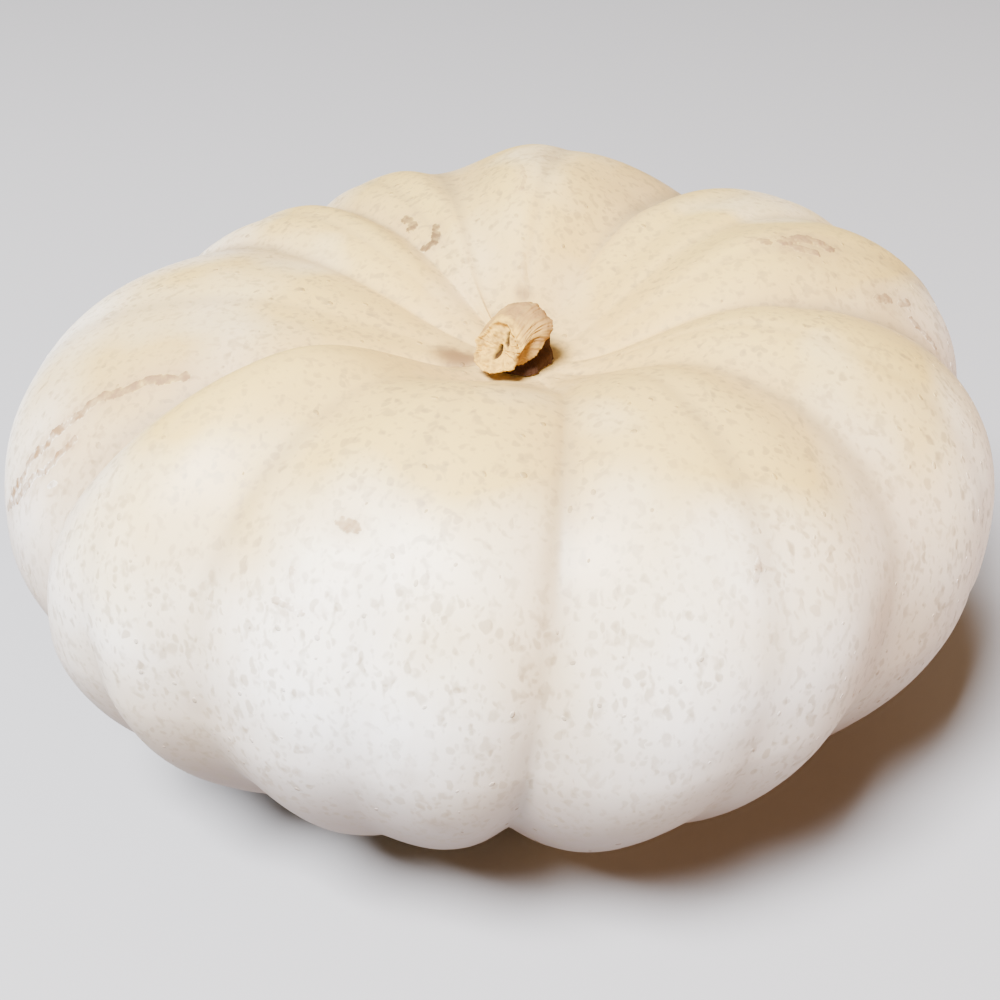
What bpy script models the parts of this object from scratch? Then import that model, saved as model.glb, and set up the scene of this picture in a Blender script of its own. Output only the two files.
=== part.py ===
"""A flat, deeply lobed white pumpkin with a short, corky, broken stem.

Metres, +Z up. The front is -Y. The origin is on the resting surface, under the middle of the pumpkin.
"""
from math import acos, atan2, cos, pi, radians, sin, tau

import bmesh
import bpy
import numpy as np
from mathutils import Vector

# Rounded profile that every lobe starts from
HALF_WIDTH = 0.170            # middle to the widest ring
TOP_RISE = 0.094              # widest ring up to the crown, before it dips
BOTTOM_DROP = 0.111           # widest ring down to the base, before it is pressed flat
TOP_SQUARENESS = 2.555        # exponents of the profile: 2 is an ellipse, more is boxier
BOTTOM_SQUARENESS = 1.77

# Dips at both ends
CROWN_DIP = 0.0325
CROWN_DIP_RADIUS = 0.062
CROWN_SHIFT = Vector((0.0098, -0.0245))    # the crown grew off the middle
SEAT_RADIUS = 0.0128          # flat spot in the crown that carries the stem
REST_DROP = 0.090             # widest ring down to the surface that the lobes are pressed flat against
PRESS_EDGE = 0.003            # height over which a lobe eases into its flat spot
BLOSSOM_DIP = 0.016
BLOSSOM_RADIUS = 0.044

# Furrows between the lobes
FURROW_DEPTH = 0.015
FURROW_FULL_RADIUS = 0.0935   # furrows fade out from here to the stem's seat
LOBE_ROUNDNESS = 1.2          # 1 is a plain V across the lobe, 2 is a half circle
MIDDLE_ROUNDNESS = 1.4
FURROW_BLUNTNESS = 0.04
MIDDLE_BLUNTNESS = 0.10
HEIGHT_EASE = 0.068           # distance from the seat at which a lobe has its own full height

# Main furrows, counter-clockwise from the front one. Heading at the widest ring in degrees from +X,
# its bend towards the crown in degrees, its slant in degrees a half width of drop, its share of
# FURROW_DEPTH low down and near the crown, and its softness, from a crease (0) to a valley (1).
FURROWS = [
    (275.1, 21, -5.5, 1.33, 0.80, 0.10),
    (318.0, 1, -11.8, 1.39, 0.80, 0.85),
    (367.9, -4, 16.2, 1.03, 0.95, 0.20),
    (391.5, 0, -3.1, 0.30, 0.50, 0.30),
    (418.5, 11, 10.3, 1.20, 1.10, 0.30),
    (463.4, 12, 6.1, 0.70, 0.80, 0.60),
    (483.4, -10, 2.9, 0.80, 0.85, 0.60),
    (507.3, 9, 9.5, 0.80, 0.85, 0.30),
    (567.4, -20, -5.0, 1.22, 1.30, 0.00),
    (597.3, 0, -1.3, 1.11, 0.55, 0.85),
]

# The lobe after each main furrow: its reach and its height against the profile's, where the shallow
# middle furrow runs from one main furrow (0) to the next (1), that one's share of their depth low down
# and near the crown, and its softness.
LOBES = [
    (0.985, 1.070, 0.54, 0.76, 0.55, 0.80),
    (1.008, 1.059, 0.44, 0.60, 0.35, 0.50),
    (1.048, 1.088, 0.43, 0.49, 0.45, 0.50),
    (1.093, 1.007, 0.48, 0.35, 0.35, 0.30),
    (0.960, 1.169, 0.47, 0.70, 0.60, 0.50),
    (0.995, 0.977, 0.58, 0.50, 0.50, 0.70),
    (0.934, 0.969, 0.54, 0.50, 0.50, 0.70),
    (1.000, 0.955, 0.49, 0.57, 0.50, 0.50),
    (0.975, 1.078, 0.52, 0.85, 0.25, 0.30),
    (0.916, 1.050, 0.49, 0.61, 0.30, 0.60),
]

# Levels, in shares of TOP_RISE, over which a furrow goes over to what it is near the crown
CROWN_DEPTH_FROM, CROWN_DEPTH_TO = -0.25, 0.8
SOFTNESS_FROM, SOFTNESS_TO = -0.95, -0.35

# Fineness of the fruit's faces
DEGREES_PER_FACE = 2.6
TOP_RINGS = 15
BOTTOM_RINGS = 14

# Stem: a stub that rises from the crown, hooks over to the left and front, and is broken off there
STEM_GAP = 0.0003             # clearance between the stem's foot and its seat
FOOT_RADIUS = 0.0094
END_RADIUS = 0.0081
END_CENTRE = Vector((-0.0062, -0.011, 0.0096))  # from the middle of the foot
END_FACING = Vector((-0.55, -0.65, 0.52)).normalized()
END_HOLLOW = 0.0022           # how far the broken face is sunk
BACK_HEADING = radians(50)    # the side away from the hook
BACK_RISE = 0.026             # how steeply the stub leaves its foot there
FRONT_RISE = 0.003
STEM_RIBS = 5
RIB_HEIGHT = 0.0006
STEM_SIDES = 30
STEM_RINGS = 11

LOBE_COUNT = len(LOBES)


def profile(angle):
    """A point of the rounded profile, from 0 at the crown to pi at the base, and its normal there."""
    top = cos(angle) >= 0
    power = TOP_SQUARENESS if top else BOTTOM_SQUARENESS
    height = TOP_RISE if top else -BOTTOM_DROP
    share_out = max(sin(angle), 1e-6) ** (2 / power)
    share_up = abs(cos(angle)) ** (2 / power)
    normal = Vector((share_out ** (power - 1) / HALF_WIDTH, share_up ** (power - 1) / height)).normalized()
    return share_out * HALF_WIDTH, share_up * height, normal


def even_angles(start, stop, count):
    """Profile angles after start up to stop, the same distance apart along the profile."""
    dense = np.linspace(start, stop, 2000)
    points = np.array([profile(angle)[:2] for angle in dense])
    travelled = np.append(0, np.cumsum(np.linalg.norm(np.diff(points, axis=0), axis=1)))
    return np.interp(np.linspace(0, travelled[-1], count + 1)[1:], travelled, dense)


def ring_angles():
    """The profile angle of every ring of vertices, with one ring at the seat and one at the widest line."""
    dense = np.linspace(0.001, pi / 2, 4000)
    reach = [profile(angle)[0] for angle in dense]
    seat = float(np.interp(SEAT_RADIUS, reach, dense))
    top = even_angles(seat, pi / 2, TOP_RINGS)
    bottom = even_angles(pi / 2, pi, BOTTOM_RINGS)
    return [0.0, seat, *top, *bottom]


def meridians():
    """The lobe and the place across it (0 to 1) of every line of vertices from crown to base."""
    lines = []
    for lobe, (heading, *_) in enumerate(FURROWS):
        following = FURROWS[(lobe + 1) % LOBE_COUNT][0] % 360
        width = (following - heading) % 360
        halves = round(width / (2 * DEGREES_PER_FACE))
        middle = LOBES[lobe][2]
        lines += [(lobe, middle * step / halves) for step in range(halves)]
        lines += [(lobe, middle + (1 - middle) * step / halves) for step in range(halves)]
    return lines


def rounded(share, power, bluntness):
    """0 in a furrow and 1 on the crest, along an arc whose foot is slightly blunt."""
    soft = (share * share + bluntness * bluntness) ** 0.5 - bluntness
    return (1 - max(0.0, 1 - soft) ** power) ** (1 / power)


def eased(share):
    share = min(max(share, 0.0), 1.0)
    return share * share * (3 - 2 * share)


def lobe_value(lobe, across, column):
    """A lobe's own value in its middle, half way to its neighbour's at its edges."""
    neighbour = (lobe - 1) % LOBE_COUNT if across < 0.5 else (lobe + 1) % LOBE_COUNT
    own = LOBES[lobe][column]
    edge = (own + LOBES[neighbour][column]) / 2
    return edge + (own - edge) * (1 - cos(tau * across)) / 2


def valley(share):
    """0 in a furrow and 1 on the crest, along a wave that is soft at both."""
    return (1 - cos(pi * share)) / 2


def furrow_value(lobe, across, column):
    """A furrow's own value at it, going over to the next furrow's across the lobe."""
    own, following = FURROWS[lobe][column], FURROWS[(lobe + 1) % LOBE_COUNT][column]
    return own + (following - own) * valley(across)


def furrow_cut(lobe, across, level):
    """How much of FURROW_DEPTH is missing at this place across the lobe and this level."""
    of_rise = level / TOP_RISE
    crown = eased((of_rise - CROWN_DEPTH_FROM) / (CROWN_DEPTH_TO - CROWN_DEPTH_FROM))
    softening = eased((of_rise - SOFTNESS_FROM) / (SOFTNESS_TO - SOFTNESS_FROM))
    depth = furrow_value(lobe, across, 3) * (1 - crown) + furrow_value(lobe, across, 4) * crown
    middle, low_share, crown_share, middle_softness = LOBES[lobe][2:]
    middle_share = low_share * (1 - crown) + crown_share * crown
    from_main = 1 - abs(2 * across - 1)
    from_middle = 1 - (across / middle if across < middle else (1 - across) / (1 - middle))
    from_middle = max(0.0, from_middle)
    crest = rounded(from_main, LOBE_ROUNDNESS, FURROW_BLUNTNESS)
    crest += (valley(from_main) - crest) * softening * furrow_value(lobe, across, 5)
    middle_crest = rounded(from_middle, MIDDLE_ROUNDNESS, MIDDLE_BLUNTNESS)
    middle_crest += (valley(from_middle) - middle_crest) * softening * middle_softness
    return depth * ((1 - crest) + middle_share * (1 - middle_crest) * crest)


def heading_at(lobe, across, reach, level):
    """The compass heading, in radians, of a place across a lobe, after the furrows' bends."""
    headings = []
    for index in (lobe, (lobe + 1) % LOBE_COUNT):
        heading, bend, slant = FURROWS[index][:3]
        if level > 0:
            heading += bend * (1 - reach / HALF_WIDTH) ** 2
        headings.append(heading - slant * level / HALF_WIDTH)
    width = (headings[1] - headings[0]) % 360
    return radians(headings[0] + width * across)


def pressed(level):
    """The level after the lobe is pressed against the surface that the pumpkin rests on."""
    above = level + REST_DROP
    if above > PRESS_EDGE:
        return level
    if above < -PRESS_EDGE:
        return -REST_DROP
    return (above + PRESS_EDGE) ** 2 / (4 * PRESS_EDGE) - REST_DROP


def rind_point(lobe, across, angle):
    """The place on the rind, measured from the middle of the widest ring."""
    reach, level, normal = profile(angle)
    heading = heading_at(lobe, across, reach, level)
    depth = FURROW_DEPTH * furrow_cut(lobe, across, level)
    depth *= min(max((reach - SEAT_RADIUS) / (FURROW_FULL_RADIUS - SEAT_RADIUS), 0.0), 1.0) ** 0.8
    out = reach * lobe_value(lobe, across, 0) - depth * normal.x
    shift = Vector((0.0, 0.0))
    if level > 0:
        own_height = lobe_value(lobe, across, 1)
        level *= 1 + (own_height - 1) * eased((reach - SEAT_RADIUS) / HEIGHT_EASE)
        shift = CROWN_SHIFT * (1 - reach / HALF_WIDTH) ** 1.5
        level -= depth * normal.y + CROWN_DIP * np.exp(-(reach / CROWN_DIP_RADIUS) ** 2)
    else:
        level = pressed(level - depth * normal.y)
        level += BLOSSOM_DIP * max(0.0, 1 - (reach / BLOSSOM_RADIUS) ** 2) ** 2
    return Vector((out * cos(heading) + shift.x, out * sin(heading) + shift.y, level + REST_DROP))


def seat_centre():
    """The middle of the flat spot that carries the stem."""
    seat = ring_angles()[1]
    level = rind_point(0, 0.0, seat).z
    return Vector((*(CROWN_SHIFT * (1 - SEAT_RADIUS / HALF_WIDTH) ** 1.5), level))


def sphere_grid(sides, rings):
    """A sphere primitive, and the ring (0 at the top) and side of each of its vertices.

    Its first line of vertices runs through +Y, so the sides are counted from there.
    """
    bm = bmesh.new()
    bmesh.ops.create_uvsphere(bm, u_segments=sides, v_segments=rings, radius=1.0)
    places = []
    for vert in bm.verts:
        ring = round(acos(max(-1.0, min(1.0, vert.co.z))) / pi * rings)
        side = round(atan2(-vert.co.x, vert.co.y) / tau * sides) % sides
        places.append((vert, ring, side))
    return bm, places


def make_fruit():
    angles = ring_angles()
    lines = meridians()
    bm, places = sphere_grid(len(lines), len(angles) - 1)
    crown = seat_centre()
    for vert, ring, side in places:
        lobe, across = lines[side]
        vert.co = crown if ring == 0 else rind_point(lobe, across, angles[ring])
    return bm


def stem_side_point(heading, along):
    """A place on the stub's side, from its foot (0) to the rim of the broken end (1)."""
    outward = Vector((cos(heading), sin(heading), 0.0))
    foot = outward * (FOOT_RADIUS + RIB_HEIGHT * cos(STEM_RIBS * heading))
    in_face = outward - END_FACING * outward.dot(END_FACING)
    end = END_CENTRE + in_face.normalized() * (END_RADIUS + RIB_HEIGHT * cos(STEM_RIBS * heading + 1))
    back = (1 + cos(heading - BACK_HEADING)) / 2
    knee = foot + Vector((0.0, 0.0, FRONT_RISE + (BACK_RISE - FRONT_RISE) * back))
    return foot * (1 - along) ** 2 + knee * 2 * along * (1 - along) + end * along ** 2


def make_stem():
    inner_rings = 2
    rings = 1 + STEM_RINGS + inner_rings + 1
    bm, places = sphere_grid(STEM_SIDES, rings)
    foot_centre = seat_centre() + Vector((0.0, 0.0, STEM_GAP))
    face_centre = END_CENTRE - END_FACING * END_HOLLOW
    for vert, ring, side in places:
        heading = tau * side / STEM_SIDES
        step = rings - ring
        if step == 0:
            place = Vector((0.0, 0.0, 0.0))
        elif step <= STEM_RINGS + 1:
            place = stem_side_point(heading, (step - 1) / STEM_RINGS)
        else:
            inward = (step - STEM_RINGS - 1) / (inner_rings + 1)
            rim = stem_side_point(heading, 1.0)
            place = rim.lerp(face_centre, inward) - END_FACING * END_HOLLOW * inward * (1 - inward)
        vert.co = foot_centre + place
    return bm


def finish_mesh(bm, name, collection, shift, colour, roughness):
    """An object from the mesh, moved by the shift, with smooth shading and its own material."""
    bmesh.ops.translate(bm, verts=bm.verts, vec=shift)
    bmesh.ops.recalc_face_normals(bm, faces=bm.faces)
    mesh = bpy.data.meshes.new(name)
    bm.to_mesh(mesh)
    bm.free()
    mesh.shade_smooth()
    material = bpy.data.materials.new(name)
    material.use_nodes = True
    shader = material.node_tree.nodes["Principled BSDF"]
    shader.inputs["Base Color"].default_value = (*colour, 1.0)
    shader.inputs["Roughness"].default_value = roughness
    shader.inputs["Metallic"].default_value = 0.0
    mesh.materials.append(material)
    collection.objects.link(bpy.data.objects.new(name, mesh))


def middle_of_footprint(bm):
    """The middle of the box around the fruit, on the resting surface."""
    places = np.array([vert.co for vert in bm.verts])
    middle = (places.min(axis=0) + places.max(axis=0)) / 2
    return Vector((middle[0], middle[1], 0.0))


def main():
    for old in list(bpy.data.objects):
        bpy.data.objects.remove(old, do_unlink=True)
    collection = bpy.data.collections.new("white_ribbed_pumpkin")
    bpy.context.scene.collection.children.link(collection)
    fruit = make_fruit()
    shift = -middle_of_footprint(fruit)
    finish_mesh(fruit, "fruit", collection, shift, (0.80, 0.74, 0.64), 0.45)
    finish_mesh(make_stem(), "stem", collection, shift, (0.62, 0.46, 0.25), 0.80)


main()
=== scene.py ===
from math import cos, pi, radians, sin, tau

import bmesh
import bpy
import numpy as np
from mathutils import Matrix, Vector, noise
from mathutils.bvhtree import BVHTree


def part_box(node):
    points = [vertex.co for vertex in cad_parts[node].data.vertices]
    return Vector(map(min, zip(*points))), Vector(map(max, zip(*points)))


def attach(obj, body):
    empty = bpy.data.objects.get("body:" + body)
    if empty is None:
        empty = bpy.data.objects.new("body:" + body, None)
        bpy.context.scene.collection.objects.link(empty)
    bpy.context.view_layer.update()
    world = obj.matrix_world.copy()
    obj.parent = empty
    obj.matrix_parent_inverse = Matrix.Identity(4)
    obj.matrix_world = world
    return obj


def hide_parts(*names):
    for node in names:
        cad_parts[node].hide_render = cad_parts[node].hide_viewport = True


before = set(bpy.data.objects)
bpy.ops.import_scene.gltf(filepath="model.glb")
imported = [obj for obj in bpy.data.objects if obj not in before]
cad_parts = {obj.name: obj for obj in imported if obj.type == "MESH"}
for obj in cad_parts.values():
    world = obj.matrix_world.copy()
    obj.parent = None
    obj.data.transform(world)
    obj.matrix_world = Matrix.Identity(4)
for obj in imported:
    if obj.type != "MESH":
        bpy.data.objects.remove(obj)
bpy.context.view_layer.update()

fruitBox = [np.array(corner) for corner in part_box("fruit")]
mm = 0.001
# Kinds of node that are used many times
ramp, mix = "ShaderNodeMapRange", "ShaderNodeMix"
vector, noiseField = "ShaderNodeVectorMath", "ShaderNodeTexNoise"
joinAxes, splitAxes = "ShaderNodeCombineXYZ", "ShaderNodeSeparateXYZ"
eased = {"interpolation_type": "SMOOTHSTEP"}


def footOfStem():      # middle of the CAD stem's flat foot
    corners = [vert.co for vert in bpy.data.objects["stem"].data.vertices]
    low = min(corner.z for corner in corners)
    foot = [corner for corner in corners if corner.z < low + 0.01 * mm]
    return sum(foot, Vector()) / len(foot)


stemFoot = footOfStem()


def linear(hexColour):      # sRGB hex to the linear colour that a shader wants
    values = [int(hexColour[i:i + 2], 16) / 255 for i in (1, 3, 5)]
    return (*[v / 12.92 if v <= 0.04045 else ((v + 0.055) / 1.055) ** 2.4 for v in values], 1.0)


def addNode(tree, kind, *inputs, **settings):
    # Adds one node. An input is a value, a socket, a node (its first output), or None to leave it.
    # A dictionary gives inputs by name. A kind in capitals is an operation of the maths node.
    if kind.isupper():
        kind, settings = "ShaderNodeMath", {"operation": kind, **settings}
    node = tree.nodes.new(kind)
    for name, value in settings.items():
        setattr(node, name, value)
    pairs = list(enumerate(inputs))
    if inputs and isinstance(inputs[0], dict):
        pairs = list(inputs[0].items())
    for key, value in pairs:
        if isinstance(value, bpy.types.Node):
            value = value.outputs[0]
        if isinstance(value, bpy.types.NodeSocket):
            tree.links.new(value, node.inputs[key])
        elif value is not None:
            node.inputs[key].default_value = value
    return node


def newTree(name, keys):      # a geometry tree with a number input for each key
    tree = bpy.data.node_groups.new(name, "GeometryNodeTree")
    tree.interface.new_socket("Geometry", in_out="INPUT", socket_type="NodeSocketGeometry")
    for key in keys:
        tree.interface.new_socket(key, in_out="INPUT", socket_type="NodeSocketFloat")
    tree.interface.new_socket("Geometry", in_out="OUTPUT", socket_type="NodeSocketGeometry")
    return tree, addNode(tree, "NodeGroupInput").outputs


def endTree(tree, shape, material):      # the last nodes: plain, smooth faces of one material
    real = addNode(tree, "GeometryNodeRealizeInstances", shape)
    painted = addNode(tree, "GeometryNodeSetMaterial", real, None, material)
    smooth = addNode(tree, "GeometryNodeSetShadeSmooth", painted)
    addNode(tree, "NodeGroupOutput", smooth)


def newMaterial(name, keys):      # with sockets for the place and for the numbers that the mesh carries
    material = bpy.data.materials.new(name)
    material.use_nodes = True
    tree = material.node_tree
    tree.nodes.clear()
    place = addNode(tree, "ShaderNodeTexCoord").outputs["Object"]
    carried = {key: addNode(tree, "ShaderNodeAttribute", attribute_name=key).outputs["Fac"] for key in keys}
    return material, tree, place, carried


def overlay(tree, shade, layers, colours):      # lays colours over a shade, each by its own amount
    for amount, colour in layers:
        colour = linear(colours[colour]) if isinstance(colour, str) else colour
        shade = addNode(tree, mix, {0: amount, 6: shade, 7: colour}, data_type="RGBA").outputs[2]
    return shade


def newMesh(name, verts, faces, attributes=None):
    mesh = bpy.data.meshes.new(name)
    mesh.from_pydata([tuple(v) for v in verts], [], faces)
    for key, values in (attributes or {}).items():
        values = np.asarray(values, np.float32)
        kind, field = ("FLOAT_VECTOR", "vector") if values.ndim == 2 else ("FLOAT", "value")
        mesh.attributes.new(key, kind, "POINT").data.foreach_set(field, values.ravel())
    mesh.update()
    piece = bpy.data.objects.new(name, mesh)
    bpy.context.scene.collection.objects.link(piece)
    return piece


def gridFaces(rings, sides):      # quads between rings of points that close on themselves
    faces = []
    for ring in range(rings - 1):
        for side in range(sides):
            after = (side + 1) % sides
            low, high = ring * sides, (ring + 1) * sides
            faces.append((low + side, high + side, high + after, low + after))
    return faces


# The fruit. Every lobe follows one rule, so a node tree shapes it from these values.
fruitValues = {
    "Half Width": 170 * mm,
    "Top Rise": 94 * mm,
    "Bottom Drop": 111 * mm,
    "Top Squareness": 2.555,
    "Bottom Squareness": 1.77,
    "Crown Dip": 32.5 * mm,
    "Crown Dip Radius": 62 * mm,
    "Crown Shift X": 9.8 * mm,
    "Crown Shift Y": -24.5 * mm,
    "Seat Radius": 12.8 * mm,
    "Rest Drop": 90 * mm,
    "Press Edge": 4.5 * mm,
    "Blossom Dip": 16 * mm,
    "Blossom Radius": 44 * mm,
    "Furrow Depth": 15 * mm,
    "Furrow Full Radius": 93.5 * mm,
    "Lobe Roundness": 1.2,
    "Middle Roundness": 1.4,
    "Furrow Bluntness": 0.04,
    "Middle Bluntness": 0.10,
    "Height Ease": 68 * mm,
    "Crease Shade Width": 0.17,      # of the thin line of painted shade in a furrow, as a share of half a lobe
}
# Main furrows, counter-clockwise from the front: heading, bend to the crown, slant, share of the depth low
# down and near the crown, and softness, from a crease (0) to a shallow valley (1)
furrows = [
    (275.1, 21, -5.5, 1.33, 0.80, 0.10), (318.0, 1, -11.8, 1.39, 0.80, 0.85),
    (367.9, -4, 16.2, 1.03, 0.95, 0.20), (391.5, 0, -3.1, 0.30, 0.50, 0.30),
    (418.5, 11, 10.3, 1.20, 1.10, 0.30), (463.4, 12, 6.1, 0.70, 0.80, 1.00),
    (483.4, -10, 2.9, 0.80, 0.85, 0.60), (507.3, 9, 9.5, 0.80, 0.85, 0.30),
    (567.4, -20, -5.0, 1.22, 1.30, 0.00), (597.3, 0, -1.3, 1.11, 0.55, 0.85),
]
# The lobe after each: reach, height, place of its middle furrow, share of that one's depth low down and
# near the crown, and its softness
lobes = [
    (0.985, 1.070, 0.54, 0.76, 0.55, 0.80), (1.008, 1.059, 0.44, 0.60, 0.35, 0.50),
    (1.048, 1.088, 0.43, 0.49, 0.45, 0.50), (1.093, 1.007, 0.48, 0.35, 0.35, 0.30),
    (0.960, 1.169, 0.47, 0.70, 0.60, 0.50), (0.995, 0.977, 0.58, 0.50, 0.50, 0.70),
    (0.934, 0.969, 0.54, 0.50, 0.50, 0.70), (1.000, 0.955, 0.49, 0.57, 0.50, 0.50),
    (0.975, 1.078, 0.52, 0.85, 0.25, 0.30), (0.916, 1.050, 0.49, 0.61, 0.30, 0.60),
]
fineness = {"degreesPerFace": 0.82, "topRings": 104, "bottomRings": 92, "seatRings": 3}


def evenAngles(start, stop, count):      # angles that are the same distance apart along the profile
    dense = np.linspace(start, stop, 6000)
    top = np.cos(dense) > -1e-9
    power = np.where(top, fruitValues["Top Squareness"], fruitValues["Bottom Squareness"])
    height = np.where(top, fruitValues["Top Rise"], fruitValues["Bottom Drop"])
    reach = fruitValues["Half Width"] * np.abs(np.sin(dense)) ** (2 / power)
    level = height * np.abs(np.cos(dense)) ** (2 / power)
    travelled = np.append(0, np.cumsum(np.hypot(np.diff(reach), np.diff(level))))
    return np.interp(np.linspace(0, travelled[-1], count + 1)[1:], travelled, dense)


def lobeColumn(lobe, across, column):      # a lobe's value, shared with its neighbours at its edges
    count = len(lobes)
    neighbour = (lobe - 1) % count if across < 0.5 else (lobe + 1) % count
    own = lobes[lobe][column]
    edge = (own + lobes[neighbour][column]) / 2
    return edge + (own - edge) * (1 - cos(tau * across)) / 2


def meridianTable():      # what each line of points from crown to base carries
    rows = []
    count = len(lobes)
    for lobe in range(count):
        here, there = furrows[lobe], furrows[(lobe + 1) % count]
        width = (there[0] - here[0]) % 360
        halves = round(width / (2 * fineness["degreesPerFace"]))
        middle, middleShare, middleCrown, middleSoft = lobes[lobe][2:]
        steps = [middle * i / halves for i in range(halves)]
        steps += [middle + (1 - middle) * i / halves for i in range(halves)]
        for across in steps:
            passed = (1 - cos(pi * across)) / 2      # from one furrow's own values to the next one's
            rows.append({
                "heading": radians(here[0] + width * across),
                "bend": radians(here[1] + (there[1] - here[1]) * across),
                "slant": radians(here[2] + (there[2] - here[2]) * across),
                "depth": here[3] + (there[3] - here[3]) * passed,
                "crownDepth": here[4] + (there[4] - here[4]) * passed,
                "softness": here[5] + (there[5] - here[5]) * passed,
                "across": across,
                "middleAt": middle,
                "middleShare": middleShare,
                "middleCrown": middleCrown,
                "middleSoft": middleSoft,
                "reach": lobeColumn(lobe, across, 0),
                "height": lobeColumn(lobe, across, 1),
            })
    return rows


def fruitGrid():      # a plain grid that carries the lobes' values and has no shape of its own yet
    share = (fruitValues["Seat Radius"] / fruitValues["Half Width"]) ** (fruitValues["Top Squareness"] / 2)
    seat = float(np.arcsin(share))
    seatRings = fineness["seatRings"]
    angles = [seat] * seatRings + list(evenAngles(seat, pi / 2, fineness["topRings"]))
    angles += list(evenAngles(pi / 2, pi, fineness["bottomRings"]))[:-1]
    inward = [i / seatRings for i in range(1, seatRings + 1)] + [1.0] * (len(angles) - seatRings)
    rows = meridianTable()
    sides, rings = len(rows), len(angles)
    attributes = {key: np.tile([row[key] for row in rows], rings) for key in rows[0]}
    attributes["angle"] = np.repeat(angles, sides)
    attributes["inward"] = np.repeat(inward, sides)
    for key in attributes:      # the two poles
        ends = (attributes[key][0], attributes[key][-1])
        attributes[key] = np.concatenate([attributes[key], ends])
    attributes["inward"][-2:] = 0.0
    attributes["angle"][-1] = pi
    heading, angle = attributes["heading"], attributes["angle"]
    attributes["growth"] = np.stack([np.cos(heading), np.sin(heading), angle * 0.25], 1)
    flat = [(r, s, 0.0) for r in range(rings) for s in range(sides)] + [(-1.0, 0.0, 0.0), (rings, 0.0, 0.0)]
    faces = gridFaces(rings, sides)
    crown, last = rings * sides, (rings - 1) * sides
    for side in range(sides):
        after = (side + 1) % sides
        faces.append((crown, side, after))
        faces.append((crown + 1, last + after, last + side))
    return newMesh("fruitRind", flat, faces, attributes)


relief = {      # the rind's own unevenness, as much above the smooth form as below it
    "Swell Size": 55 * mm,
    "Swell Depth": 1.2 * mm,
    "Dent Size": 14 * mm,
    "Dent Depth": 0.28 * mm,
    "Grain Size": 5 * mm,
    "Grain Depth": 0.07 * mm,
}


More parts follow.
